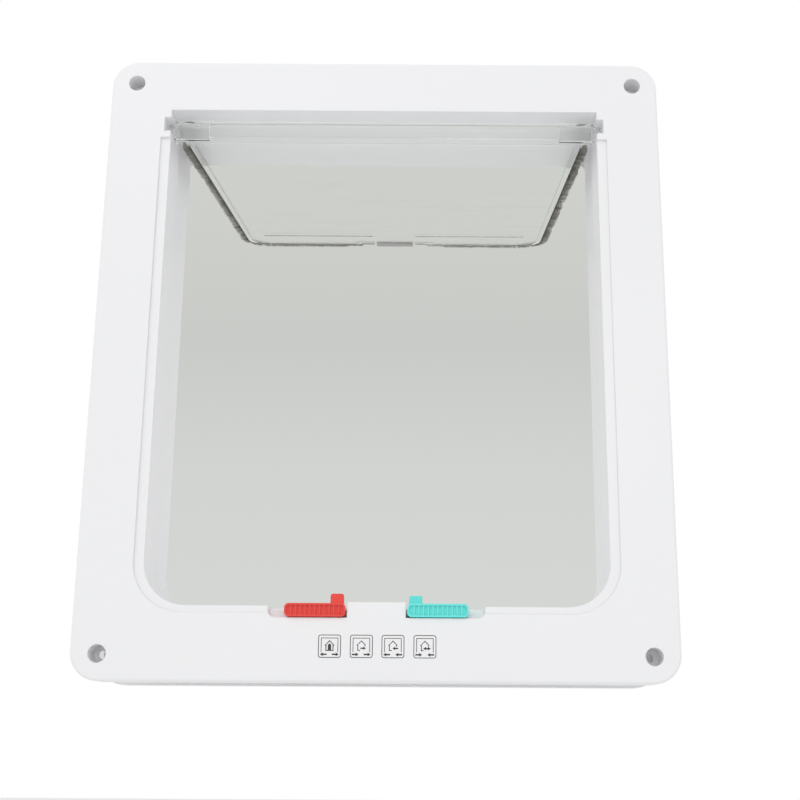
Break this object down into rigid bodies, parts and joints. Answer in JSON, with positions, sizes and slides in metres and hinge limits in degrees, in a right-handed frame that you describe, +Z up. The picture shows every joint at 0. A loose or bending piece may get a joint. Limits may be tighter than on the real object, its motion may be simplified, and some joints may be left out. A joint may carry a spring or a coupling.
{
  "type": "cat flap",
  "caption": "White cat flap for a door: clear flap with draught pile on a top hinge, telescoping tunnel between two plates, and a red and a turquoise sliding lock in the sill.",
  "frame": {"origin": "middle of the four screw holes, on the face of the door that the front plate lies against", "axes": "+Z up, +Y through the door away from the room, +X to the right as seen from the room"},
  "size_m": [0.25, 0.2222, 0.2827],
  "materials": {
    "white_plastic": "moulded, half gloss",
    "clear_plastic": "clear, slightly hazy",
    "pile": "upright bristle pile on a woven backing",
    "grey_plastic": "matt",
    "magnet": "sintered, dull",
    "red_plastic": "gloss",
    "turquoise_plastic": "gloss"
  },
  "bodies": {
    "frame": {"front_frame": "white_plastic", "rear_frame": "white_plastic", "sill_magnet": "magnet", "sill_magnet_cover": "white_plastic"},
    "flap": {"flap_panel": "clear_plastic", "hinge_pin_left": "clear_plastic", "hinge_pin_right": "clear_plastic", "pile_strip_left": "pile", "pile_strip_right": "pile", "magnet_holder": "grey_plastic", "flap_magnet": "magnet"},
    "red_slider": {"red_lock": "red_plastic"},
    "green_slider": {"green_lock": "turquoise_plastic"}
  },
  "joints": [
    {"name": "flap_swing", "type": "hinge", "parent": "frame", "child": "flap", "pos_m": [0, -0.0045, 0.1084], "axis": [1, 0, 0], "range_deg": [-205, 2.6]},
    {"name": "red_lock_slide", "type": "slide", "parent": "frame", "child": "red_slider", "axis": [-1, 0, 0], "range_m": [0, 0.0062]},
    {"name": "green_lock_slide", "type": "slide", "parent": "frame", "child": "green_slider", "axis": [1, 0, 0], "range_m": [0, 0.0062]}
  ]
}
